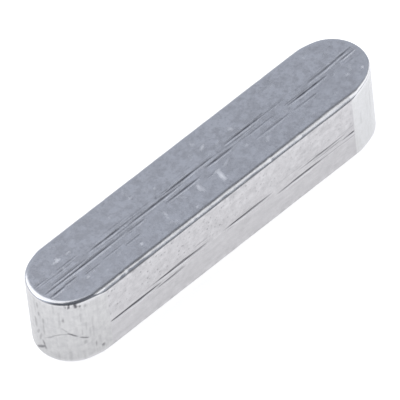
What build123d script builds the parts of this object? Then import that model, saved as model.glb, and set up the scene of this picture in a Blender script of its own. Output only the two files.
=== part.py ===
from build123d import *
import math
import os

# Parallel key with two round ends, the loose key that locks a hub to a shaft.
# Millimetres. X runs along the key, Y across it between the driving flanks, Z is up,
# and the origin is the middle of the bottom face.

# Driving dimensions
KEY_WIDTH = 5.0      # between the two flanks that carry the torque
KEY_HEIGHT = 5.0     # square section
KEY_LENGTH = 25.0    # from tip to tip
CORNER_BEVEL = 0.25  # leg of the 45 degree bevel drawn along the four long corners
CORNER_BLEND = 0.15  # tumbled radius where that bevel meets the flats
NOSE_RADIUS = 2.3    # tip of each round end
NOSE_SPREAD = 71.0   # degrees that the nose arc turns to either side of the tip
SIDE_RADIUS = 6.6    # longer arc from the nose to the flank, where the cutter runs out
RIM_RADIUS = 0.16    # tumbled rounding of the upper and lower rims of the milled ends


def drawn_bar():
    """Cold-drawn square bar, longer than the key: bevelled corners with tumbled blends."""
    section = Rectangle(KEY_WIDTH, KEY_HEIGHT)
    section = chamfer(section.vertices(), CORNER_BEVEL)
    section = fillet(section.vertices(), CORNER_BLEND)
    half_stock = KEY_LENGTH / 2 + KEY_WIDTH
    bar = extrude(Plane.YZ * section, amount=half_stock, both=True)
    return Pos(0, 0, KEY_HEIGHT / 2) * bar


def milled_outline():
    """What the form cutter leaves, seen from above: a nose arc and a longer arc on each side.

    The side arcs end just outside the bar, so each leaves a faint upright crease where it
    runs out through a flank.
    """
    spread = math.radians(NOSE_SPREAD)
    nose_centre = KEY_LENGTH / 2 - NOSE_RADIUS
    side_centre_x = nose_centre - (SIDE_RADIUS - NOSE_RADIUS) * math.cos(spread)
    side_centre_y = -(SIDE_RADIUS - NOSE_RADIUS) * math.sin(spread)
    nose = CenterArc((nose_centre, 0), NOSE_RADIUS, -NOSE_SPREAD, 2 * NOSE_SPREAD)
    upper_side = CenterArc((side_centre_x, side_centre_y), SIDE_RADIUS, NOSE_SPREAD, 90 - NOSE_SPREAD)
    right_end = [nose, upper_side, mirror(upper_side, about=Plane.XZ)]
    left_end = [mirror(arc, about=Plane.YZ) for arc in right_end]
    across = [Line(right @ 1, left @ 1) for right, left in zip(right_end[1:], left_end[1:])]
    return make_face(right_end + left_end + across)


def end_milling():
    """Everything inside the cutter's path, with its upper and lower rims rounded."""
    block = extrude(milled_outline(), amount=KEY_HEIGHT)
    layers = block.edges().group_by(Axis.Z)
    return fillet(layers[0] + layers[-1], RIM_RADIUS)


parallel_key = drawn_bar() & end_milling()

os.makedirs("parts", exist_ok=True)
export_step(parallel_key, "parts/parallel_key.step")
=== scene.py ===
import math

import bpy
import numpy as np
from mathutils import Euler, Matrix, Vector


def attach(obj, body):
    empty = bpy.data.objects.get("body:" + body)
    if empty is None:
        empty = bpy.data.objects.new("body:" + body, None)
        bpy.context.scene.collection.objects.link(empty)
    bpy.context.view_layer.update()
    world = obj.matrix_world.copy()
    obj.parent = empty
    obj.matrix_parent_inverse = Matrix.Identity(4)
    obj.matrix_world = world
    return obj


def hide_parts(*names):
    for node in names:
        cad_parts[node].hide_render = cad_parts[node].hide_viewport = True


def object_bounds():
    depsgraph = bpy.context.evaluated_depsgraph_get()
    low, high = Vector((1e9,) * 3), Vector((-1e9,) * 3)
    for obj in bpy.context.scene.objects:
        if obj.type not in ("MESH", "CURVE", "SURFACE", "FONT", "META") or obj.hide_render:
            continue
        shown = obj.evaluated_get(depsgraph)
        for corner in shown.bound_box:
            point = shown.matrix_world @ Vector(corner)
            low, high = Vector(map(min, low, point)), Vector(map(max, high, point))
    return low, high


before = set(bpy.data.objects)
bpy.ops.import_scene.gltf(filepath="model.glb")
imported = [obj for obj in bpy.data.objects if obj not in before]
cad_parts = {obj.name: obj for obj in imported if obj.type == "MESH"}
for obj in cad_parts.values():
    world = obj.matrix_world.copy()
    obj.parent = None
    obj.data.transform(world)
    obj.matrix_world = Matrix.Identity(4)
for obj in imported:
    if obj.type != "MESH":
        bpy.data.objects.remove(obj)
cad_low, cad_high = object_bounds()
bpy.ops.object.select_all(action="DESELECT")

# ---------------------------------------------------------------------------------------
# The steel blank. Square bar, drawn cold through a die that leaves a small bevel along its
# four corners, then milled round in plan at both ends. It is one piece with nothing fixed
# to it. Barrel tumbling has rounded every edge and knocked the corners here and there.
# ---------------------------------------------------------------------------------------
MM = 0.001             # sizes are in millimetres, and this turns them to metres
KEY_LENGTH, KEY_WIDTH, KEY_HEIGHT = (cad_high - cad_low) / MM
HALF_LENGTH = KEY_LENGTH / 2
HALF_WIDTH = KEY_WIDTH / 2
CORNER_BEVEL = 0.22    # leg of the drawn bevel
FACE_BLEND = 0.12      # reach of the tumbled blend between the bevel and the top or bottom
FLANK_BLEND = 0.09     # and between the bevel and a flank
NOSE_RADIUS = 2.3      # milled arc round each tip
NOSE_SPREAD = 71.0     # degrees that it turns to either side of the tip
SIDE_RADIUS = 6.6      # longer arc from the nose to the flank
NOSE_INSET = 0.35      # how far in from a wall the flat of the top starts, round the tips
FLANK_INSET = 0.44     # and along the flanks
RAY_LENGTH = 0.8       # of the rays that find a corner's surface
RAY_HALVINGS = 30      # how often each ray is halved to find it

# How far the rounding of the milled rims reaches, at places along x.
RIM_BLENDS = [(-12.4, 0.28), (-11.2, 0.23), (10.2, 0.27), (11.2, 0.2), (12.4, 0.14)]

# The side arc is wider than the bar at its widest place, so it runs out through the flank
# short of that, and leaves an upright crease there.
nose_centre = HALF_LENGTH - NOSE_RADIUS
side_offset = SIDE_RADIUS - NOSE_RADIUS
side_centre_x = nose_centre - side_offset * math.cos(math.radians(NOSE_SPREAD))
side_centre_y = side_offset * math.sin(math.radians(NOSE_SPREAD))
run_out_angle = math.degrees(math.acos((HALF_WIDTH + side_centre_y) / SIDE_RADIUS))
crease_x = side_centre_x + SIDE_RADIUS * math.sin(math.radians(run_out_angle))
cutter_gap = SIDE_RADIUS - side_centre_y - HALF_WIDTH


def spaced(start, end, step):
    """Even values from start to end, about a step apart, both ends included."""
    return np.linspace(start, end, max(2, round(abs(end - start) / step) + 1))


def end_stations(nose_step, side_step):
    """Half of a milled end from its tip to the crease, with a station every so many degrees.

    Gives each station's x, its half width, the way its wall faces, and how far it is round the
    wall from the tip.
    """
    nose = np.radians(spaced(90, 90 - NOSE_SPREAD, nose_step))
    side = np.radians(spaced(90 - NOSE_SPREAD, run_out_angle, side_step)[1:])
    nose_way = NOSE_RADIUS * (nose[0] - nose)
    side_way = nose_way[-1] + SIDE_RADIUS * (nose[-1] - side)
    x = np.append(nose_centre + NOSE_RADIUS * np.sin(nose), side_centre_x + SIDE_RADIUS * np.sin(side))
    half = np.append(NOSE_RADIUS * np.cos(nose), SIDE_RADIUS * np.cos(side) - side_centre_y)
    return x, half, np.append(nose, side), np.append(nose_way, side_way)


# The stations run from the left tip to the right one. A wall's turn is 0 along the flanks, and a
# quarter turn at each tip. The flat of the top keeps its lesser inset until the wall has turned
# most of the way to the flank.
left_x, left_half, left_turn, left_way = end_stations(nose_step=1.7, side_step=0.8)
right_x, lit_end_share, right_turn, right_way = end_stations(nose_step=2.6, side_step=1.1)
flank_x = spaced(-crease_x, crease_x, 0.11)[1:-1]
flank_half = np.full(len(flank_x), HALF_WIDTH)
flank_turn = np.zeros(len(flank_x))
flank_way = left_way[-1] + flank_x + crease_x
station_x = np.concatenate([-left_x, flank_x, right_x[::-1]])
station_half = np.concatenate([left_half, flank_half, lit_end_share[::-1]])
station_turn = np.concatenate([left_turn, flank_turn, -right_turn[::-1]])
station_way = np.concatenate([left_way, flank_way, right_way[::-1]])
stations = len(station_x)
on_left = np.arange(stations) < len(left_x)
on_right = np.arange(stations) >= stations - len(right_x)
on_flank = ~(on_left | on_right)
towards_flank = np.clip((np.cos(station_turn) - 0.55) / 0.39, 0, 1)
inset = NOSE_INSET + (FLANK_INSET - NOSE_INSET) * towards_flank
off_tips = np.clip(HALF_LENGTH - np.abs(station_x), 0, 1)
rng = np.random.default_rng(5)


def smooth_max(a, b, reach):
    """The larger of two distances, rounded off where they are within reach of each other."""
    return np.maximum(a, b) + np.maximum(reach - np.abs(a - b), 0) ** 2 / (4 * reach)


def slow_noise(step, amount):
    """Smooth random values along the stations, with a knot every so many stations."""
    knots = rng.uniform(-amount, amount, stations // step + 3)
    return np.interp(np.arange(stations) / step, np.arange(len(knots)), knots)


def along_corner(places):
    """A value for each station of a corner, from humps: x, half length and height of each."""
    value = np.zeros(stations)
    for x, half_length, most in places:
        value = np.maximum(value, most * np.exp(-((station_x - x) / half_length) ** 2))
    return value


def random_knocks(count):
    """Places for a corner's knocks, between the creases: x, half length and depth of each."""
    middles = rng.uniform(-9.2, 9.2, count)
    half_lengths = rng.uniform(0.15, 0.45, count)
    depths = rng.uniform(0.004, 0.014, count)
    return zip(middles, half_lengths, depths)


def corner(knocked, rays, softened=0):
    """Points round one corner at every station: how far in from the wall, and how high.

    Rays from inside the metal find where it ends: inside the drawn section with its bevel,
    and inside the cutter's path with its rounded rim. The blends are worn unevenly, except at
    the tips, where the front and the back of the skin have to meet.
    """
    angles = np.radians(np.linspace(0, 90, rays))
    wear = (1 + (slow_noise(9, 0.07) + slow_noise(4, 0.04)) * off_tips)[:, None]
    flank_blend = FLANK_BLEND * (wear + np.reshape(softened, (-1, 1)))
    rim_blend = np.interp(station_x, *zip(*RIM_BLENDS))[:, None] * (0.5 + 0.5 * wear)
    pivot = inset[:, None]
    gap = np.where(on_flank, cutter_gap, 0)[:, None]
    near = np.zeros((stations, rays))
    far = near + RAY_LENGTH
    for _ in range(RAY_HALVINGS):
        reach = (near + far) / 2
        inward = pivot - reach * np.cos(angles)
        height = KEY_HEIGHT - pivot + reach * np.sin(angles)

        # How far each point is outside the top, the flank, the bevel, the bar and the cutter's path.
        above = height - KEY_HEIGHT
        beyond = station_half[:, None] - inward * np.cos(station_turn)[:, None] - HALF_WIDTH
        bevel = (beyond + above + CORNER_BEVEL + knocked[:, None]) * math.sqrt(0.5)
        drawn = smooth_max(smooth_max(beyond, bevel, flank_blend), above, FACE_BLEND * wear)
        milled = smooth_max(-inward - gap, above, rim_blend)

        outside = np.maximum(drawn, milled) > 0
        near, far = np.where(outside, near, reach), np.where(outside, reach, far)
    return inward, height


def rows_between(low, high, fine_low, fine_high, fine, coarse):
    """Rows that lie close together only where marks are cut."""
    below = spaced(low, fine_low, coarse)[:-1]
    above = spaced(fine_high, high, coarse)[1:]
    return np.concatenate([below, spaced(fine_low, fine_high, fine), above])


def on_wall(inward, height, side):
    """Points by how far they are in from a wall: side -1 is the front, and 1 the back."""
    x = station_x[:, None] + inward * np.sin(station_turn)[:, None]
    y = side * (station_half[:, None] - inward * np.cos(station_turn)[:, None])
    return np.stack(np.broadcast_arrays(x, y, height), axis=-1)


def wall(rows, side):
    """Points up a wall, from rows between 0 at its foot and 1 at its head."""
    height = inset[:, None] + (KEY_HEIGHT - 2 * inset[:, None]) * rows
    return on_wall(np.zeros_like(height), height, side)


def flat(rows, height):
    """Points across the top or bottom, which close up towards the tips."""
    inner_x = (station_x + inset * np.sin(station_turn))[:, None]
    inner_half = (station_half - inset * np.cos(station_turn))[:, None]
    across = np.clip(rows, -inner_half, inner_half)
    return np.stack(np.broadcast_arrays(inner_x, across, height), axis=-1)


def upside_down(points):
    """An upper corner's points, turned over to make a lower corner."""
    return points * (1, 1, -1) + (0, 0, KEY_HEIGHT)


# The front's upper corner has knocks in listed places besides the random ones, and in others its
# blend with the flank is rubbed softer: x, half length, and the depth or the share added.
front_knocks = along_corner([
    (-7.7, 0.12, 0.02), (-7.2, 0.5, 0.018), (-6.0, 0.3, 0.012), (-2.7, 0.12, 0.01),
    (-1.6, 0.12, 0.012), (3.3, 0.12, 0.016), (8.3, 0.9, 0.03), (8.9, 0.15, 0.02),
    *random_knocks(7)])
front_softened = along_corner([
    (-7.6, 0.3, 1.2), (-6.9, 0.7, 0.8), (-8.3, 0.2, 0.7), (-0.4, 0.3, 0.6), (1.7, 0.5, 0.4)])
front_upper = on_wall(*corner(front_knocks, 31, front_softened), -1)
back_upper = on_wall(*corner(along_corner(random_knocks(18)), 31), 1)
back_lower = upside_down(on_wall(*corner(along_corner(random_knocks(18)), 19), 1))
front_lower = upside_down(on_wall(*corner(along_corner(random_knocks(18)), 19), -1))
wall_rows = rows_between(0, 1, fine_low=0.31, fine_high=0.59, fine=0.0072, coarse=0.026)
front_wall = wall(wall_rows, -1)
back_wall = wall(wall_rows, 1)
top_rows = rows_between(-HALF_WIDTH, HALF_WIDTH, fine_low=-1.65, fine_high=1.2, fine=0.032, coarse=0.09)
top = flat(top_rows, KEY_HEIGHT)
bottom_rows = rows_between(-HALF_WIDTH, HALF_WIDTH, fine_low=-1.2, fine_high=1.1, fine=0.08, coarse=0.15)
bottom = flat(bottom_rows, 0.0)

# The skin is laid point by point, so that it can carry every mark. It goes once round the key,
# from the foot of the front wall over the top and back under it, and its last row lies on its
# first.
girth = [
    ("front", front_wall),
    ("front corner", front_upper[:, 1:-1]),
    ("top", top),
    ("back corner", back_upper[:, -2:0:-1]),
    ("back", back_wall[:, ::-1]),
    ("back corner", back_lower[:, 1:-1]),
    ("bottom", bottom[:, ::-1]),
    ("front corner", front_lower[:, -2:0:-1]),
    ("front", front_wall[:, :1]),
]


def highlighted_rows(name, count):
    """How much painted highlight each row of a strip takes: only the burnished corners, most in the middle.
    """
    if "corner" not in name:
        return np.zeros(count)
    return np.sin(np.linspace(0, math.pi, count + 2)[1:-1]) ** 2


skin = np.concatenate([np.full(rows.shape[1], name) for name, rows in girth])
shape = np.concatenate([rows for _, rows in girth], axis=1)
# Painted highlight: the burnished corners are painted brighter, most along the middle of each corner.
burnish_and_highlight = np.concatenate([highlighted_rows(name, rows.shape[1]) for name, rows in girth])
burnish_and_highlight = np.tile(burnish_and_highlight, (stations, 1))

# ---------------------------------------------------------------------------------------
# Marks in the steel. Grit in the die scores the faces along the bar, the cutter and the
# barrel leave scuffs on the ends, and the marks are coloured darker, most in a groove's middle.
# Each mark is cut into the skin, and its darkening and shine are noted for the finish.
# ---------------------------------------------------------------------------------------
SCORE_WIDTH = 0.11
SCORE_DEPTH = 0.014
SCUFF_DEPTH = 0.002
LIP_HEIGHT = 0.35      # of the metal pushed up beside a groove, as a share of the groove's depth
LIP_OFFSET = 1.8       # how far off the groove's middle it stands, in half widths of the groove
LEFT_LIP = 0.3         # share of the lip's height that stands on the groove's left
BARE_MARGIN = 0.1      # the marks of the end walls stop this far from the top and the bottom

along, across, up = np.moveaxis(shape.copy(), -1, 0)
# Darkening: colour made darker along the marks, most in the middle of a groove.
darkening = np.zeros_like(along)
# Painted highlight, partly: fresh bruises and the lips beside grooves are painted white; the finish also
# makes them rougher.
bruise_and_highlight = np.zeros_like(along)

# Marks sink into the flats and the walls. The corners only take dirt and shine, so they face
# nowhere here.
facing = np.zeros_like(shape)
facing[:, skin == "top"] = (0, 0, 1)
facing[:, skin == "bottom"] = (0, 0, -1)
for name, side in (("front", -1), ("back", 1)):
    wall_facing = np.stack([-np.sin(station_turn), side * np.cos(station_turn), np.zeros(stations)], axis=-1)
    facing[:, skin == name] = wall_facing[:, None]

# A mark is placed by two measures: on the top and the bottom x and y, on the flanks x and the
# height, and on the end walls the way round from the tip, positive at the front, and the height.
way = station_way[:, None] * np.where(np.isin(skin, ["back", "back corner"]), -1, 1)
clear_of_flats = np.abs(up - KEY_HEIGHT / 2) < KEY_HEIGHT / 2 - BARE_MARGIN
end_wall = ~np.isin(skin, ["top", "bottom"]) & clear_of_flats
full_length = np.ones((stations, 1), bool)
surfaces = {
    "top": (along, across, full_length & (skin == "top")),
    "bottom": (along, across, full_length & (skin == "bottom")),
    "front": (along, up, on_flank[:, None] & (skin == "front")),
    "back": (along, up, on_flank[:, None] & (skin == "back")),
    "left end": (way, up, on_left[:, None] & end_wall),
    "right end": (way, up, on_right[:, None] & end_wall),
}


def near_line(surface, points):
    """Where a surface's vertices lie by a line of points.

    Gives the vertices, how far each is from the line (below zero to its right), and how far
    along the line it is, as a share of the line's length.
    """
    u, v, mask = surfaces[surface]
    spots = np.nonzero(mask)
    u, v = u[spots], v[spots]
    points = np.array(points, float)
    legs = np.hypot(*np.diff(points, axis=0).T)
    reached = np.concatenate([[0], np.cumsum(legs)]) / legs.sum()
    nearest = np.full(len(u), np.inf)
    hand = np.ones(len(u))
    share = np.zeros(len(u))
    for start, end, leg, low, high in zip(points, points[1:], legs, reached, reached[1:]):
        step = (end - start) / leg
        run = np.clip((u - start[0]) * step[0] + (v - start[1]) * step[1], 0, leg)
        away = np.hypot(u - start[0] - run * step[0], v - start[1] - run * step[1])
        on_right_hand = step[0] * (v - start[1]) < step[1] * (u - start[0])
        closer = away < nearest
        nearest = np.where(closer, away, nearest)
        hand = np.where(closer, np.where(on_right_hand, -1, 1), hand)
        share = np.where(closer, low + (high - low) * run / leg, share)
    return spots, nearest * hand, share


def cut(surface, points, width, depth, darkness, shine=0.0, fade=0.45):
    """A groove along a line of points, darkened in its middle, with a lip raised most on its right that is
    painted bright as a painted highlight.

    The larger its fade, the further in from its ends it starts to fade away.
    """
    spots, nearest, share = near_line(surface, points)
    ragged = np.interp(share, np.linspace(0, 1, 12), rng.uniform(0.7, 1.1, 12))
    taper = (4 * share * (1 - share)) ** fade * ragged
    half_width = width * (0.4 + 0.3 * taper)
    off = np.abs(nearest) / half_width
    groove = np.maximum(1 - off, 0) * taper
    lip = np.maximum(1 - np.abs(off - LIP_OFFSET), 0) * taper * np.where(nearest < 0, 1, LEFT_LIP)
    shape[spots] += facing[spots] * (depth * (LIP_HEIGHT * lip - groove))[:, None]
    darkening[spots] = np.maximum(darkening[spots], darkness * np.minimum(1.4 * groove, 1))
    bruise_and_highlight[spots] = np.maximum(bruise_and_highlight[spots], shine * lip)


def scuff(surface, points, width, shine):
    """A shallow scrape along a line of points, rougher where the metal is freshly bruised and painted bright
    there as a painted highlight.
    """
    spots, nearest, share = near_line(surface, points)
    ragged = np.interp(share, np.linspace(0, 1, 8), rng.uniform(0.8, 1.15, 8))
    taper = np.minimum((4 * share * (1 - share)) ** 0.6 * ragged, 1)
    rubbed = np.exp(-(nearest / (0.6 * width)) ** 2) * taper
    shape[spots] -= facing[spots] * (SCUFF_DEPTH * shine * rubbed)[:, None]
    bruise_and_highlight[spots] = np.maximum(bruise_and_highlight[spots], shine * rubbed)


def die_score(surface, start, end, level, strength, fade=0.45):
    """A score from the drawing die: one groove, and the finer ones of the same grit beside it."""
    width = SCORE_WIDTH * (0.6 + 0.4 * strength)
    depth = SCORE_DEPTH * strength
    cut(surface, [(start, level), (end, level)], width, depth, 0.9 * strength, 0.6 * strength, fade)
    for _ in range(3):
        beside = level + rng.choice([-1, 1]) * rng.uniform(0.05, 0.13)
        low, high = np.sort(rng.uniform(start, end, 2))
        fine = rng.uniform(0.2, 0.6) * strength
        cut(surface, [(low - 0.2, beside), (high + 0.2, beside)], 0.07, SCORE_DEPTH * fine, fine, 0.4 * fine)


def fine_scores(surface, count, low, high):
    """Short faint scores, all along the bar, between two levels."""
    for _ in range(count):
        middle = rng.uniform(-11.5, 11.5)
        half = rng.uniform(0.3, 1.3)
        level = rng.uniform(low, high)
        fine = rng.uniform(0.12, 0.4)
        line = [(middle - half, level), (middle + half, level)]
        cut(surface, line, 0.075, SCORE_DEPTH * fine, fine, 0.5 * fine)


def small_scuffs(surface, count, u_low, u_high, v_low, v_high):
    """Faint scrapes under a millimetre long, in any direction."""
    for _ in range(count):
        u, v = rng.uniform(u_low, u_high), rng.uniform(v_low, v_high)
        turned = rng.uniform(0, math.pi)
        bend = rng.uniform(-0.5, 0.5)
        reach = rng.uniform(0.08, 0.35)
        ends = [(u + side * reach * math.cos(turned + side * bend),
                 v + side * reach * math.sin(turned + side * bend)) for side in (-1, 1)]
        scuff(surface, [ends[0], (u, v), ends[1]], rng.uniform(0.08, 0.14), rng.uniform(0.08, 0.25))


# Scores along the top: from x, to x, y and strength.
for mark in [
        (-12.1, -6.0, -0.33, 1.0), (-11.4, -8.7, -0.12, 0.8), (-12.3, -10.8, -0.7, 0.9),
        (-11.0, -10.0, -0.64, 0.7), (-12.2, -11.1, 0.47, 0.5), (-9.6, -8.4, -0.92, 0.5),
        (-8.4, -5.0, 0.15, 0.85), (-6.6, -5.4, -1.01, 0.5), (-5.9, -4.5, -0.39, 0.7),
        (-5.5, -1.2, -0.05, 1.0), (-2.9, -0.3, -0.44, 0.9), (-2.9, 1.3, 0.13, 1.0),
        (0.3, 2.5, -0.19, 1.0), (2.2, 5.2, 0.28, 1.0), (2.0, 4.6, 0.06, 0.5),
        (3.4, 5.6, -0.21, 0.5), (3.7, 6.4, -0.74, 0.6), (5.4, 6.7, 0.27, 0.4),
        (6.6, 9.7, -0.26, 1.0), (6.6, 8.5, -0.79, 0.5), (8.6, 10.4, 0.19, 0.5),
        (11.3, 12.5, 0.14, 0.5), (-0.2, 0.7, -0.8, 0.4)]:
    die_score("top", *mark)
cut("top", [(8.5, 0.11), (9.9, 0.12), (11.1, 0.21), (12.5, 0.29)], SCORE_WIDTH, 0.8 * SCORE_DEPTH,
    darkness=0.7, shine=0.7)
cut("top", [(10.8, -0.04), (12.5, 0.02)], 0.09, 0.5 * SCORE_DEPTH, darkness=0.5, shine=0.8)
fine_scores("top", 24, -1.0, 0.5)

# Scuffs on the top, from knocks against other keys in the barrel: points, width and shine.
for points, width, shine in [
        ([(0.3, -0.86), (0.55, -0.83), (0.85, -0.87)], 0.1, 0.6),
        ([(0.62, -0.8), (0.57, -1.2), (0.46, -1.72)], 0.16, 1.0),
        ([(0.52, -1.05), (0.42, -1.5)], 0.1, 0.8),
        ([(-0.86, -0.72), (-0.93, -1.0), (-0.97, -1.3)], 0.13, 0.8),
        ([(-0.82, -0.85), (-0.86, -1.3), (-0.84, -1.5)], 0.12, 0.5),
        ([(-10.3, 0.95), (-9.72, 0.96)], 0.1, 0.6),
        ([(-10.05, 0.85), (-9.9, 1.0), (-9.92, 1.2)], 0.11, 0.8),
        ([(-9.98, 1.08), (-9.75, 0.88)], 0.11, 0.8),
        ([(-9.3, 0.93), (-8.95, 0.96)], 0.11, 0.45),
        ([(-10.1, 0.35), (-9.98, 0.22)], 0.12, 0.5),
        ([(-9.61, -1.24), (-9.53, -1.08)], 0.12, 0.7),
        ([(-5.95, -1.68), (-5.88, -1.52)], 0.12, 0.8),
        ([(-4.12, 1.25), (-3.97, 1.38)], 0.13, 0.6),
        ([(-2.68, 0.84), (-2.55, 0.76)], 0.14, 0.4),
        ([(1.04, 0.9), (1.22, 1.02), (1.48, 1.14)], 0.13, 0.6),
        ([(0.95, 1.78), (1.1, 1.42)], 0.12, 0.4),
        ([(-3.55, -0.72), (-3.52, -1.0), (-3.66, -1.42)], 0.11, 0.4),
        ([(-2.02, -2.02), (-1.88, -1.86)], 0.14, 0.6),
        ([(3.22, 1.0), (3.34, 0.68)], 0.15, 0.6),
        ([(3.0, -0.62), (3.1, -0.76)], 0.14, 0.6),
        ([(4.35, -1.02), (4.0, -1.4)], 0.13, 0.35),
        ([(1.75, -0.6), (1.05, -0.92)], 0.11, 0.3),
        ([(10.45, -1.15), (10.6, -1.04)], 0.15, 0.6),
        ([(11.42, -1.38), (11.56, -1.26)], 0.13, 0.8)]:
    scuff("top", points, width, shine)
cut("top", [(-3.08, 0.34), (-3.04, 0.12)], 0.12, 0.003, darkness=0.4)
small_scuffs("top", 45, -11.5, 11.5, -2.0, 2.0)

# Scores along the front flank: from x, to x, height, strength and, but for one, fade.
for mark in [
        (-9.6, -5.6, 2.16, 1.7, 0.5), (-6.4, -1.9, 2.48, 1.6, 0.8), (-6.2, -3.7, 1.97, 1.0, 0.8),
        (-1.0, 3.2, 2.4, 1.5, 1.3), (3.2, 7.4, 2.0, 1.5, 1.2), (5.0, 8.9, 2.53, 1.0, 0.9),
        (6.0, 8.4, 2.33, 0.6), (8.3, 10.6, 2.24, 1.2, 0.9)]:
    die_score("front", *mark)
fine_scores("front", 14, 1.9, 2.9)

# The bottom and the back carry the same kinds of marks.
for surface, low, high in (("bottom", -1.1, 1.0), ("back", 1.8, 3.2)):
    for _ in range(12):
        start = rng.uniform(-12, 9)
        die_score(surface, start, start + rng.uniform(1.5, 5), rng.uniform(low, high), rng.uniform(0.5, 1))
    fine_scores(surface, 20, low, high)
small_scuffs("bottom", 30, -11.5, 11.5, -2.0, 2.0)
small_scuffs("back", 25, -9, 9, 0.8, 4.2)

# Marks on the left end: a curved scratch across it, upright nicks from the cutter, dark spots
# under the rim, and faint smears and spots lower down. Each has points, width, depth and darkening.
for points, width, depth, darkness in [
        ([(0.3, 1.68), (0.75, 1.98), (1.02, 2.23), (1.4, 2.4), (1.98, 2.46)], 0.09, 0.004, 0.35),
        ([(1.72, 2.52), (1.95, 2.42), (2.14, 2.28), (2.32, 2.16)], 0.11, 0.008, 0.9),
        ([(2.42, 2.1), (2.6, 1.98), (2.95, 1.8)], 0.11, 0.006, 0.8),
        ([(1.25, 3.05), (1.56, 2.82), (1.95, 2.47)], 0.08, 0.003, 0.3),
        ([(-0.5, 0.35), (-0.15, 0.62), (0.29, 0.98)], 0.17, 0.006, 0.9),
        ([(0.14, 1.42), (0.24, 1.02), (0.32, 0.7)], 0.16, 0.004, 0.7),
        ([(0.04, 4.5), (0.04, 4.0)], 0.17, 0.004, 0.4),
        ([(0.08, 3.75), (0.06, 3.4)], 0.17, 0.004, 0.4),
        ([(0.38, 3.35), (0.33, 2.9)], 0.15, 0.004, 0.4),
        ([(0.33, 3.0), (0.32, 1.9)], 0.12, 0.002, 0.3),
        ([(-0.28, 3.1), (-0.26, 2.2)], 0.22, 0.003, 0.35),
        ([(-0.26, 1.7), (-0.01, 2.2)], 0.14, 0.003, 0.35),
        ([(-0.1, 1.27), (0.12, 1.95)], 0.16, 0.003, 0.35),
        ([(1.4, 4.3), (1.38, 2.9)], 0.11, 0.002, 0.2),
        ([(1.6, 3.78), (1.6, 3.42)], 0.15, 0.002, 0.5),
        ([(1.1, 4.9), (1.14, 4.0)], 0.1, 0.002, 0.2),
        ([(2.04, 4.9), (1.97, 4.5)], 0.14, 0.0, 1.0),
        ([(1.78, 4.85), (1.84, 4.6)], 0.12, 0.0, 0.6),
        ([(2.34, 4.9), (2.42, 4.55)], 0.22, 0.0, 1.0),
        ([(2.6, 4.7), (2.66, 4.54)], 0.13, 0.0, 0.8),
        ([(2.9, 4.62), (2.98, 4.4)], 0.18, 0.0, 0.4),
        ([(2.85, 3.2), (2.86, 2.5)], 0.14, 0.0, 0.2),
        ([(2.7, 1.75), (2.7, 1.4)], 0.17, 0.0, 0.3),
        ([(1.78, 1.3), (1.76, 0.1)], 0.24, 0.0, 0.15),
        ([(1.12, 1.0), (1.14, 0.1)], 0.24, 0.0, 0.13),
        ([(2.55, 0.9), (2.58, 0.1)], 0.24, 0.0, 0.13),
        ([(3.22, 3.4), (3.26, 1.6)], 0.16, 0.0, 0.15),
        ([(3.31, 1.3), (3.31, 0.85)], 0.11, 0.002, 0.5),
        ([(3.55, 1.7), (3.58, 1.1)], 0.14, 0.0, 0.25),
        ([(3.7, 0.85), (3.78, 0.62)], 0.2, 0.003, 0.8)]:
    cut("left end", points, width, depth, darkness)

# Faint lines down both ends, where the cutter's teeth ran.
for _ in range(26):
    middle = rng.uniform(-4, 4)
    foot = rng.uniform(0.5, 3.6)
    fine = rng.uniform(0.05, 0.25)
    line = [(middle, foot), (middle + rng.uniform(-0.03, 0.03), foot + rng.uniform(0.4, 1.6))]
    cut(rng.choice(["left end", "right end"]), line, 0.11, 0.003 * fine, fine)

# Tumbling has pitted the top, the bottom and the upper half of each flank. Lower down the
# flanks are smoother and keep faint streaks of the die. Small dark specks lie in clusters in
# the pitted half, and thin out towards the right.
pitting = np.clip(0.85 + slow_noise(14, 0.15)[:, None] + 0.15 * np.sin(1.7 * across + 1.3 * up), 0, 1)
specked = np.full_like(pitting, 0.2)
clusters = np.clip(0.75 + slow_noise(12, 0.5), 0.15, 1) * np.interp(station_x, [-2, 4], [1, 0.4])
flanks = np.isin(skin, ["front", "back"])
pitting[:, flanks] = np.clip((up[:, flanks] - 1.9) / 1.2, 0.2, 0.42)
specked[:, flanks] = np.clip((up[:, flanks] - 2.3) / 0.8, 0, 1) * clusters[:, None]
scuff("left end", [(3.8, 4.7), (3.6, 0.9)], 0.5, 0.13)    # a broad faint rub beside the crease

# The skin becomes one closed mesh. It is shaded smooth but for the upright creases of the right
# end, because tumbling has blended those of the left end away.
skin_rows = shape.shape[1]
bpy.ops.mesh.primitive_grid_add(x_subdivisions=stations - 1, y_subdivisions=skin_rows - 1,
                                size=KEY_LENGTH * MM)
key = bpy.context.object
key.name = "key_body"
key.data.vertices.foreach_set("co", (shape.transpose(1, 0, 2) * MM).astype(np.float32).ravel())
noted = {"darkening": darkening, "bruise_and_highlight": bruise_and_highlight, "pitting": pitting, "specked": specked,
         "burnish_and_highlight": burnish_and_highlight, "way": way}
for name, values in noted.items():
    attribute = key.data.attributes.new(name, "FLOAT", "POINT")
    attribute.data.foreach_set("value", values.T.astype(np.float32).ravel())
edge_ends = np.empty(2 * len(key.data.edges), np.int32)
key.data.edges.foreach_get("vertices", edge_ends)
edge_row, edge_station = np.divmod(edge_ends.reshape(-1, 2), stations)
at_crease = (edge_station == stations - len(right_x)).all(axis=1)
upright = np.isin(skin[edge_row], ["front", "back"]).all(axis=1) & (edge_row[:, 0] != edge_row[:, 1])
sharp_edge = key.data.attributes.new("sharp_edge", "BOOLEAN", "EDGE")
sharp_edge.data.foreach_set("value", at_crease & upright)
bpy.ops.object.mode_set(mode="EDIT")
bpy.ops.mesh.select_all(action="SELECT")
bpy.ops.mesh.remove_doubles(threshold=0.0001 * MM)
bpy.ops.mesh.normals_make_consistent(inside=False)
bpy.ops.object.mode_set(mode="OBJECT")
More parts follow.
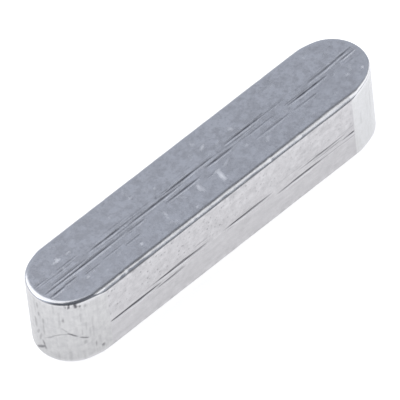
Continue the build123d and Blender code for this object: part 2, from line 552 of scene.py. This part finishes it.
key.data.polygons.foreach_set("use_smooth", np.ones(len(key.data.polygons), bool))

# ---------------------------------------------------------------------------------------
# Finish of the steel. The drawn faces are bright cold-drawn steel dulled by tumbling, and
# the end walls are brighter where the cutter passed. Both take the noted marks.
# ---------------------------------------------------------------------------------------


def linear(colour):
    """An sRGB hex colour as linear red, green, blue and alpha."""
    shares = [int(colour[i:i + 2], 16) / 255 for i in (1, 3, 5)]
    return [c / 12.92 if c <= 0.04045 else ((c + 0.055) / 1.055) ** 2.4 for c in shares] + [1.0]


def add(tree, kind, inputs=None, **settings):
    """Adds one shader node: its settings, and each input as a value or as another node's output."""
    made = tree.nodes.new(kind)
    for name, value in settings.items():
        setattr(made, name, value)
    for name, value in (inputs or {}).items():
        if isinstance(value, bpy.types.NodeSocket):
            tree.links.new(value, made.inputs[name])
        else:
            made.inputs[name].default_value = value
    return made


# Cold-drawn steel, tumbled: a soft grey mirror, mottled by shallow dimples about 0.4 mm
# across, with small dark pits in places and faint streaks along the bar in others. The
# burnished corners are painted evenly brighter, a painted highlight, marks are darkened where
# noted, and fresh bruises are rougher and painted white, partly a painted highlight.
DIMPLES_PER_MM = 2.3
PITS_PER_MM = 4.2                  # cells that may hold a pit, though most are empty
STREAKS_PER_MM = (0.6, 3.2, 3.2)   # 1.7 mm long and 0.3 mm wide, coarser than real die lines
DIMPLE_DEPTH = 0.0045

drawn_steel = bpy.data.materials.new("cold_drawn_tumbled_steel")
drawn_steel.use_nodes = True
tree = drawn_steel.node_tree
steel = tree.nodes["Principled BSDF"]
coordinates = add(tree, "ShaderNodeTexCoord")
in_mm = add(tree, "ShaderNodeMapping", {"Vector": coordinates.outputs["Object"],
                                        "Scale": (1 / MM, 1 / MM, 1 / MM)})
drawn_out = add(tree, "ShaderNodeMapping", {"Vector": in_mm.outputs[0], "Scale": STREAKS_PER_MM})
dimples = add(tree, "ShaderNodeTexNoise", {"Vector": in_mm.outputs[0], "Scale": DIMPLES_PER_MM,
                                           "Detail": 2.4, "Roughness": 0.7})
streaks = add(tree, "ShaderNodeTexNoise", {"Vector": drawn_out.outputs[0], "Scale": 1.0, "Detail": 2.0})
soft_streaks = add(tree, "ShaderNodeMapRange", {"Value": streaks.outputs["Fac"],
                                                "To Min": 0.37, "To Max": 0.63})
pitted = add(tree, "ShaderNodeAttribute", attribute_name="pitting")
texture = add(tree, "ShaderNodeMix", {0: pitted.outputs["Fac"],
                                      2: soft_streaks.outputs[0], 3: dimples.outputs["Fac"]})
pits = add(tree, "ShaderNodeTexVoronoi", {"Vector": in_mm.outputs[0], "Scale": PITS_PER_MM})
pit_edge = add(tree, "ShaderNodeMapRange", {"Value": pits.outputs["Distance"],
                                            "From Min": 0.1, "From Max": 0.36, "To Min": 1.0, "To Max": 0.0})
pit_kept = add(tree, "ShaderNodeMapRange", {"Value": pits.outputs["Color"],
                                            "From Min": 0.43, "From Max": 0.66})
pit_here = add(tree, "ShaderNodeMath", {0: pit_edge.outputs[0], 1: pit_kept.outputs[0]}, operation="MULTIPLY")
specks = add(tree, "ShaderNodeAttribute", attribute_name="specked")
pit = add(tree, "ShaderNodeMath", {0: pit_here.outputs[0], 1: specks.outputs["Fac"]}, operation="MULTIPLY")
mottle = add(tree, "ShaderNodeMapRange", {"Value": texture.outputs[0], "From Min": 0.39, "From Max": 0.61})
tone = add(tree, "ShaderNodeMix", {0: mottle.outputs[0], 6: linear("#c6c5c7"), 7: linear("#dedddf")},
           data_type="RGBA")
with_pits = add(tree, "ShaderNodeMix", {0: pit.outputs[0], 6: tone.outputs[2], 7: linear("#76767c")},
                data_type="RGBA")
# Painted highlight: the burnished corners take a lighter colour.
burnished_and_highlighted = add(tree, "ShaderNodeAttribute", attribute_name="burnish_and_highlight")
with_edge_highlight = add(tree, "ShaderNodeMix", {0: burnished_and_highlighted.outputs["Fac"], 6: with_pits.outputs[2],
                                       7: linear("#dcdcde")}, data_type="RGBA")
# The marks are coloured darker where noted.
darkness = add(tree, "ShaderNodeAttribute", attribute_name="darkening")
darker = add(tree, "ShaderNodeMix", {0: darkness.outputs["Fac"], 6: with_edge_highlight.outputs[2],
                                        7: linear("#47464c")}, data_type="RGBA")
# Bruises are rougher, and painted white as a painted highlight.
bruised_and_highlighted = add(tree, "ShaderNodeAttribute", attribute_name="bruise_and_highlight")
colour = add(tree, "ShaderNodeMix", {0: bruised_and_highlighted.outputs["Fac"], 6: darker.outputs[2],
                                     7: linear("#fafafc")}, data_type="RGBA")
dullness = add(tree, "ShaderNodeMapRange", {"Value": dimples.outputs["Fac"],
                                            "From Min": 0.3, "From Max": 0.7, "To Min": 0.27, "To Max": 0.19})
roughness = add(tree, "ShaderNodeMix", {0: bruised_and_highlighted.outputs["Fac"], 2: dullness.outputs[0], 3: 0.62})
hollows = add(tree, "ShaderNodeMath", {0: pit.outputs[0], 1: -0.6, 2: texture.outputs[0]},
              operation="MULTIPLY_ADD")
relief = add(tree, "ShaderNodeBump", {"Height": hollows.outputs[0], "Strength": 1.0,
                                      "Distance": DIMPLE_DEPTH * MM})
steel.inputs["Metallic"].default_value = 1.0
tree.links.new(colour.outputs[2], steel.inputs["Base Color"])
tree.links.new(roughness.outputs[0], steel.inputs["Roughness"])
tree.links.new(relief.outputs[0], steel.inputs["Normal"])

# End-milled steel: brighter and plainer, with fine upright lines about 0.14 mm apart where
# the teeth of the cutter ran down the wall. The right end is painted lighter than the left,
# as painted light for the brighter light it mirrors. The burnished rims are painted brighter
# still, a painted highlight.
MILL_LINES_PER_MM = (7.0, 0.5, 1.0)    # across the lines and down them, coarser than real ones
FAINT_DIMPLES_PER_MM = 3.2
MILL_LINE_DEPTH = 0.001

milled_steel = bpy.data.materials.new("end_milled_steel")
milled_steel.use_nodes = True
tree = milled_steel.node_tree
steel = tree.nodes["Principled BSDF"]
coordinates = add(tree, "ShaderNodeTexCoord")
in_mm = add(tree, "ShaderNodeMapping", {"Vector": coordinates.outputs["Object"],
                                        "Scale": (1 / MM, 1 / MM, 1 / MM)})
place = add(tree, "ShaderNodeSeparateXYZ", {0: in_mm.outputs[0]})
wall_way = add(tree, "ShaderNodeAttribute", attribute_name="way")
on_the_wall = add(tree, "ShaderNodeCombineXYZ", {"X": wall_way.outputs["Fac"], "Y": place.outputs["Z"]})
lined = add(tree, "ShaderNodeMapping", {"Vector": on_the_wall.outputs[0], "Scale": MILL_LINES_PER_MM})
mill_lines = add(tree, "ShaderNodeTexNoise", {"Vector": lined.outputs[0], "Scale": 1.0, "Detail": 3.0})
dimples = add(tree, "ShaderNodeTexNoise", {"Vector": in_mm.outputs[0], "Scale": FAINT_DIMPLES_PER_MM,
                                           "Detail": 2.0})
texture = add(tree, "ShaderNodeMix", {0: 0.6, 2: mill_lines.outputs["Fac"], 3: dimples.outputs["Fac"]})
mottle = add(tree, "ShaderNodeMapRange", {"Value": texture.outputs[0], "From Min": 0.36, "From Max": 0.64})
# Painted light: the right end takes a lighter tone than the left, for the brighter light it mirrors.
left_end_tone = add(tree, "ShaderNodeMix", {0: mottle.outputs[0], 6: linear("#cacacb"), 7: linear("#d9d9d9")},
              data_type="RGBA")
lit_right_end_tone = add(tree, "ShaderNodeMix", {0: mottle.outputs[0], 6: linear("#d9d9d9"), 7: linear("#e0e0e1")},
            data_type="RGBA")
lit_end_share = add(tree, "ShaderNodeMapRange", {"Value": place.outputs["X"], "From Min": -1.0, "From Max": 1.0})
tone = add(tree, "ShaderNodeMix", {0: lit_end_share.outputs[0], 6: left_end_tone.outputs[2], 7: lit_right_end_tone.outputs[2]},
           data_type="RGBA")
# Painted highlight: the burnished rims take a lighter colour still.
burnished_and_highlighted = add(tree, "ShaderNodeAttribute", attribute_name="burnish_and_highlight")
with_edge_highlight = add(tree, "ShaderNodeMix", {0: burnished_and_highlighted.outputs["Fac"], 6: tone.outputs[2],
                                       7: linear("#ebebed")}, data_type="RGBA")
# The marks are coloured darker where noted.
darkness = add(tree, "ShaderNodeAttribute", attribute_name="darkening")
colour = add(tree, "ShaderNodeMix", {0: darkness.outputs["Fac"], 6: with_edge_highlight.outputs[2],
                                     7: linear("#55545a")}, data_type="RGBA")
relief = add(tree, "ShaderNodeBump", {"Height": texture.outputs[0], "Strength": 1.0,
                                      "Distance": MILL_LINE_DEPTH * MM})
steel.inputs["Metallic"].default_value = 1.0
steel.inputs["Roughness"].default_value = 0.2
tree.links.new(colour.outputs[2], steel.inputs["Base Color"])
tree.links.new(relief.outputs[0], steel.inputs["Normal"])

# The end walls and their rims, beyond the creases, are milled, and the rest is drawn.
key.data.materials.append(drawn_steel)
key.data.materials.append(milled_steel)
middles = np.empty(3 * len(key.data.polygons), np.float32)
normals = np.empty(3 * len(key.data.polygons), np.float32)
key.data.polygons.foreach_get("center", middles)
key.data.polygons.foreach_get("normal", normals)
past_crease = np.abs(middles[::3]) > crease_x * MM
upright_face = np.abs(normals[2::3]) < 0.9
key.data.polygons.foreach_set("material_index", (past_crease & upright_face).astype(np.int32))

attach(key, "root")
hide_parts("parallel_key")

# ---------------------------------------------------------------------------------------
# The table, a white sheet. What the steel mirrors of it is painted light: a painted pool of
# light, brightest in a strip along the key and on to the right, lighter behind it than in
# front, a painted shadow that dims it a little where the key stands on it, and a whiter,
# cooler patch painted slantwise from under the right end on.
# ---------------------------------------------------------------------------------------
SHEET_GLOW = (0.99, 0.99, 1.01, 1)    # what the steel mirrors, in linear light
# painted brighter patch in what the steel mirrors, whiter and cooler
BRIGHT_PATCH_GLOW = (1.10, 1.11, 1.14, 1)

bpy.ops.object.select_all(action="DESELECT")
bpy.ops.mesh.primitive_plane_add(size=1.2)
table = bpy.context.object
table.name = "table"
table_sheet = bpy.data.materials.new("white_table_sheet")
table_sheet.use_nodes = True
tree = table_sheet.node_tree
tree.nodes.clear()
coordinates = add(tree, "ShaderNodeTexCoord")
place = add(tree, "ShaderNodeSeparateXYZ", {0: coordinates.outputs["Object"]})
strip_x = add(tree, "ShaderNodeClamp", {"Value": place.outputs["X"], "Min": -10 * MM, "Max": 150 * MM})
past_strip = add(tree, "ShaderNodeMath", {0: place.outputs["X"], 1: strip_x.outputs[0]}, operation="SUBTRACT")
off_strip = add(tree, "ShaderNodeCombineXYZ", {"X": past_strip.outputs[0], "Y": place.outputs["Y"]})
distance = add(tree, "ShaderNodeVectorMath", {0: off_strip.outputs[0]}, operation="LENGTH")
far_level = add(tree, "ShaderNodeMapRange", {"Value": place.outputs["Y"], "From Min": -15 * MM,
                                             "From Max": 10 * MM, "To Min": 0.05, "To Max": 0.45})
# Painted pool of light in what the steel mirrors, brightest within 9 mm of the strip.
light_pool_level = add(tree, "ShaderNodeMapRange", {"Value": distance.outputs["Value"], "From Min": 9 * MM,
                                               "From Max": 24 * MM, "To Min": 0.89,
                                               "To Max": far_level.outputs[0]},
                  interpolation_type="SMOOTHSTEP")
# Painted shadow: what the steel mirrors dims close to the key.
painted_contact_shade = add(tree, "ShaderNodeMapRange", {"Value": distance.outputs["Value"], "From Min": 2.5 * MM,
                                           "From Max": 6.5 * MM, "To Min": 0.9, "To Max": 1.06})
painted_mirror_light = add(tree, "ShaderNodeMath", {0: light_pool_level.outputs[0], 1: painted_contact_shade.outputs[0]},
               operation="MULTIPLY")
slantwise = add(tree, "ShaderNodeVectorMath", {0: coordinates.outputs["Object"], 1: (1, 1, 0)},
                operation="DOT_PRODUCT")
# Painted brighter patch, no real card: past this slant what the steel mirrors is whiter and cooler.
on_bright_patch = add(tree, "ShaderNodeMapRange", {"Value": slantwise.outputs["Value"], "From Min": 6.8 * MM,
                                           "From Max": 8 * MM})
tint = add(tree, "ShaderNodeMix", {0: on_bright_patch.outputs[0], 6: SHEET_GLOW, 7: BRIGHT_PATCH_GLOW}, data_type="RGBA")
plain_sheet = add(tree, "ShaderNodeBsdfDiffuse", {"Color": linear("#e7e7e7")})
seen_sheet = add(tree, "ShaderNodeBsdfDiffuse", {"Color": linear("#e7e7e7")})
seen_glow = add(tree, "ShaderNodeEmission", {"Strength": 0.72})
seen = add(tree, "ShaderNodeAddShader", {0: seen_sheet.outputs[0], 1: seen_glow.outputs[0]})
mirror_sheet = add(tree, "ShaderNodeBsdfDiffuse", {"Color": linear("#7c7c7c")})
# Painted light: the sheet glows for glossy rays only, with the painted pool, shadow and patch.
painted_mirror_glow = add(tree, "ShaderNodeEmission", {"Color": tint.outputs[2], "Strength": painted_mirror_light.outputs[0]})
in_mirror = add(tree, "ShaderNodeAddShader", {0: mirror_sheet.outputs[0], 1: painted_mirror_glow.outputs[0]})
ray = add(tree, "ShaderNodeLightPath")
not_seen = add(tree, "ShaderNodeMixShader", {0: ray.outputs["Is Glossy Ray"], 1: plain_sheet.outputs[0],
                                             2: in_mirror.outputs[0]})
sheet = add(tree, "ShaderNodeMixShader", {0: ray.outputs["Is Camera Ray"], 1: not_seen.outputs[0],
                                          2: seen.outputs[0]})
add(tree, "ShaderNodeOutputMaterial", {0: sheet.outputs[0]})
table.data.materials.append(table_sheet)

# ---------------------------------------------------------------------------------------
# The room: cool light from its walls, dim in front and lighter behind, with a paler patch
# in front and one on the left, and two soft boxes. A long lens looks at the key from half a
# metre away.
# ---------------------------------------------------------------------------------------
WALL_GLOW = (0.90, 0.97, 1.12, 1)    # in linear light
TOWARDS_FRONT_PATCH = (0.40, -0.88, 0.25)
TOWARDS_LEFT_PATCH = (-0.91, 0.24, 0.34)
BOX_DISTANCE = 0.4              # metres
CAMERA_DISTANCE = 493.85        # millimetres
CAMERA_ELEVATION = 48.387       # degrees above the table
CAMERA_AZIMUTH = -38.945        # degrees round from the front
CAMERA_ROLL = -6.694
CAMERA_LENS = 798.25            # millimetres

room = bpy.data.worlds.new("room")
bpy.context.scene.world = room
room.use_nodes = True
tree = room.node_tree
tree.nodes.clear()
coordinates = add(tree, "ShaderNodeTexCoord")
towards = add(tree, "ShaderNodeSeparateXYZ", {0: coordinates.outputs["Generated"]})
level = add(tree, "ShaderNodeMapRange", {"Value": towards.outputs["Y"], "From Min": -0.15, "From Max": 0.5,
                                         "To Min": 0.13, "To Max": 0.53})
in_front = add(tree, "ShaderNodeVectorMath", {0: coordinates.outputs["Generated"], 1: TOWARDS_FRONT_PATCH},
               operation="DOT_PRODUCT")
front_patch = add(tree, "ShaderNodeMapRange", {"Value": in_front.outputs["Value"],
                                               "From Min": 0.85, "From Max": 1.0, "To Max": 0.22})
on_left_side = add(tree, "ShaderNodeVectorMath", {0: coordinates.outputs["Generated"], 1: TOWARDS_LEFT_PATCH},
                   operation="DOT_PRODUCT")
left_patch = add(tree, "ShaderNodeMapRange", {"Value": on_left_side.outputs["Value"],
                                              "From Min": 0.85, "From Max": 1.0, "To Max": 0.28})
patches = add(tree, "ShaderNodeMath", {0: front_patch.outputs[0], 1: left_patch.outputs[0]}, operation="ADD")
wall_level = add(tree, "ShaderNodeMath", {0: level.outputs[0], 1: patches.outputs[0]}, operation="ADD")
wall_light = add(tree, "ShaderNodeBackground", {"Color": WALL_GLOW, "Strength": wall_level.outputs[0]})
white = add(tree, "ShaderNodeBackground", {"Strength": 1.0})
ray = add(tree, "ShaderNodeLightPath")
walls = add(tree, "ShaderNodeMixShader", {0: ray.outputs["Is Camera Ray"], 1: wall_light.outputs[0],
                                          2: white.outputs[0]})
add(tree, "ShaderNodeOutputWorld", {0: walls.outputs[0]})


def soft_box(name, azimuth, elevation, width, height, radiance):
    """A soft box turned to the key: azimuth 0 is the front, and 90 the right."""
    a, e = math.radians(azimuth), math.radians(elevation)
    direction = Vector((math.sin(a) * math.cos(e), -math.cos(a) * math.cos(e), math.sin(e)))
    bpy.ops.object.light_add(type="AREA", location=direction * BOX_DISTANCE)
    box = bpy.context.object
    box.name = name
    box.rotation_euler = direction.to_track_quat("Z", "Y").to_euler()
    box.data.shape = "RECTANGLE"
    box.data.size = width
    box.data.size_y = height
    box.data.energy = radiance * math.pi * width * height


soft_box("left_box", azimuth=-145, elevation=50, width=0.48, height=0.58, radiance=0.98)
soft_box("right_box", azimuth=63, elevation=25, width=0.47, height=0.50, radiance=0.98)

turn = Euler((math.radians(90 - CAMERA_ELEVATION), 0, math.radians(CAMERA_AZIMUTH)))
turn.rotate_axis("Z", math.radians(CAMERA_ROLL))
aim = Vector((-0.124, 0.040, KEY_HEIGHT / 2)) * MM    # close to the middle of the key
back_off = turn.to_matrix() @ Vector((0, 0, CAMERA_DISTANCE * MM))
bpy.ops.object.camera_add(location=aim + back_off, rotation=turn)
camera = bpy.context.object
camera.data.lens = CAMERA_LENS
camera.data.sensor_width = 36
camera.data.clip_start = 0.01
camera.data.clip_end = 5
bpy.context.scene.camera = camera
bpy.context.scene.view_settings.view_transform = "Standard"
